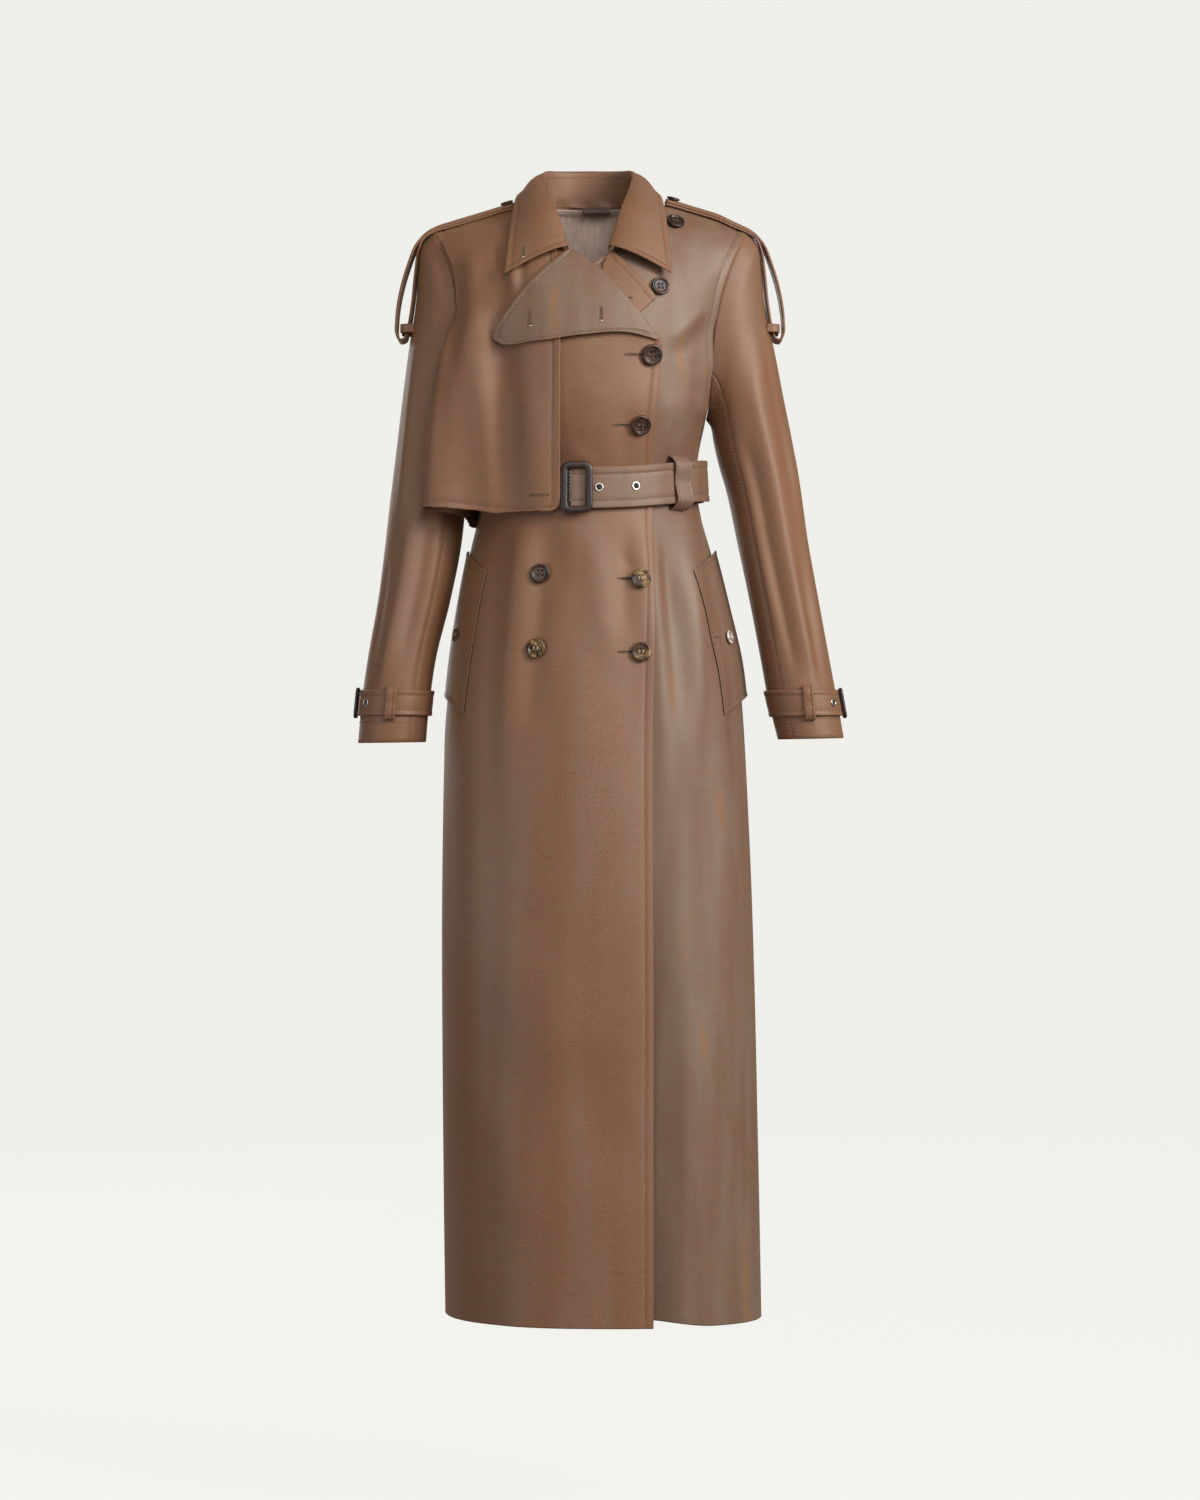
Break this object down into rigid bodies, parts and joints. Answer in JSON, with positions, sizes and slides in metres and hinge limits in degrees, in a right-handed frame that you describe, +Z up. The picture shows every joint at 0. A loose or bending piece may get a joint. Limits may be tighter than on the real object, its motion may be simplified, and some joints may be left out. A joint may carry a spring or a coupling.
{
  "type": "double-breasted trench coat",
  "caption": "Long double-breasted trench coat with a one-sided half cape, wide lapels, shoulder straps, buckled belt, cuff straps and slanted pockets, hollow as worn",
  "frame": {"origin": "between the shoulders, at shoulder height on the coat's middle plane, where the wearer's shoulders carry it", "axes": "+Z up, the front faces -Y, the wearer's left arm is at +X"},
  "size_m": [0.5916, 0.2945, 1.3806],
  "materials": {
    "gabardine": "satin",
    "lining": "satin",
    "horn": "gloss",
    "leather": "satin",
    "metal": "satin"
  },
  "bodies": {
    "root": {"right_front": "gabardine", "right_front_hip": "gabardine", "right_front_skirt": "gabardine", "left_front": "gabardine", "left_front_hip": "gabardine", "left_front_skirt": "gabardine", "back_right": "gabardine", "back_right_hip": "gabardine", "back_right_skirt": "gabardine", "back_left": "gabardine", "back_left_hip": "gabardine", "back_left_skirt": "gabardine", "right_sleeve_top": "gabardine", "right_sleeve_under": "gabardine", "left_sleeve_top": "gabardine", "left_sleeve_under": "gabardine", "collar_stand": "gabardine", "collar_fall": "gabardine", "right_lapel": "gabardine", "left_lapel": "gabardine", "storm_flap": "gabardine", "back_shield": "gabardine", "belt": "gabardine", "belt_tail": "gabardine", "belt_loop_left": "gabardine", "right_epaulette": "gabardine", "left_epaulette": "gabardine", "right_epaulette_keeper": "gabardine", "left_epaulette_keeper": "gabardine", "right_cuff_strap": "gabardine", "left_cuff_strap": "gabardine", "right_cuff_loop": "gabardine", "left_cuff_loop": "gabardine", "right_pocket_welt": "gabardine", "left_pocket_welt": "gabardine", "back_lining": "lining", "hanger_loop": "lining", "front_button_1": "horn", "front_button_2": "horn", "front_button_3": "horn", "front_button_4": "horn", "front_button_5": "horn", "front_button_6": "horn", "front_button_7": "horn", "front_button_8": "horn", "right_pocket_button": "horn", "left_pocket_button": "horn", "right_epaulette_button": "horn", "left_epaulette_button": "horn", "belt_buckle": "leather", "right_cuff_buckle": "leather", "left_cuff_buckle": "leather", "buckle_bar": "metal", "belt_eyelet_1": "metal", "belt_eyelet_2": "metal", "right_cuff_eyelet": "metal", "left_cuff_eyelet": "metal"}
  },
  "joints": []
}
